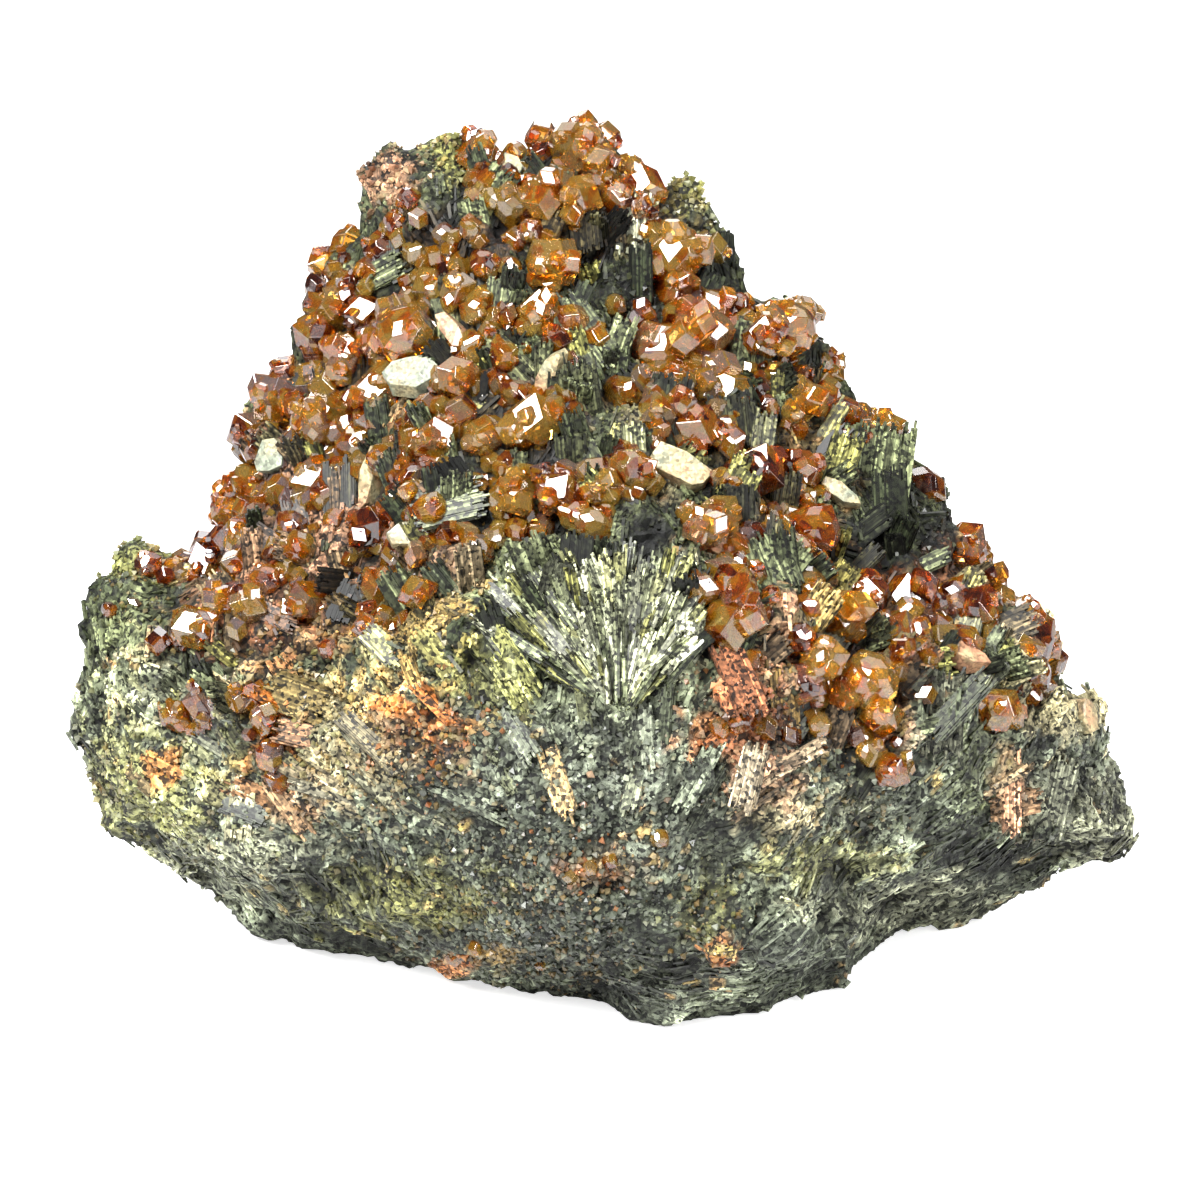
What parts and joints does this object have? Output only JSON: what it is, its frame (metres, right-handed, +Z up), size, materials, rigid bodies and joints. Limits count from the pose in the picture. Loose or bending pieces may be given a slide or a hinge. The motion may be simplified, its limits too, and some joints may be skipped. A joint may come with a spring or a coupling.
{
  "type": "topazolite garnet specimen",
  "caption": "Rough lump of grey-green fibrous rock, its upper half and flanks covered with honey to red-brown garnet crystals, on a flat base.",
  "frame": {"origin": "middle of the bounding box in plan, at the flat base", "axes": "+Z up, +X to the right as seen from the front, the crystal-covered face looks towards -Y"},
  "size_m": [0.11, 0.0706, 0.0835],
  "materials": {
    "matrix": "matte",
    "garnet": "gloss",
    "pale_mineral": "satin"
  },
  "bodies": {
    "root": {"matrix": "matrix", "garnet_cluster_01": "garnet", "garnet_cluster_02": "garnet", "garnet_03": "garnet", "garnet_cluster_04": "garnet", "garnet_05": "garnet", "garnet_cluster_06": "garnet", "garnet_07": "garnet", "garnet_08": "garnet", "garnet_09": "garnet", "garnet_10": "garnet", "garnet_11": "garnet", "garnet_12": "garnet", "garnet_13": "garnet", "garnet_14": "garnet", "garnet_cluster_15": "garnet", "garnet_cluster_16": "garnet", "garnet_17": "garnet", "garnet_18": "garnet", "garnet_19": "garnet", "garnet_20": "garnet", "garnet_21": "garnet", "garnet_22": "garnet", "garnet_23": "garnet", "garnet_24": "garnet", "garnet_25": "garnet", "garnet_26": "garnet", "garnet_cluster_27": "garnet", "garnet_28": "garnet", "garnet_29": "garnet", "garnet_30": "garnet", "garnet_31": "garnet", "garnet_32": "garnet", "garnet_33": "garnet", "garnet_34": "garnet", "garnet_35": "garnet", "garnet_36": "garnet", "garnet_37": "garnet", "garnet_38": "garnet", "garnet_39": "garnet", "garnet_40": "garnet", "garnet_41": "garnet", "garnet_42": "garnet", "garnet_43": "garnet", "garnet_44": "garnet", "garnet_45": "garnet", "garnet_46": "garnet", "pale_blade_01": "pale_mineral", "pale_blade_02": "pale_mineral", "pale_blade_03": "pale_mineral", "pale_blade_04": "pale_mineral", "pale_blade_05": "pale_mineral", "pale_blade_06": "pale_mineral", "pale_blade_07": "pale_mineral", "pale_blade_08": "pale_mineral", "pale_blade_09": "pale_mineral", "pale_blade_10": "pale_mineral", "pale_blade_11": "pale_mineral", "pale_blade_12": "pale_mineral"}
  },
  "joints": []
}
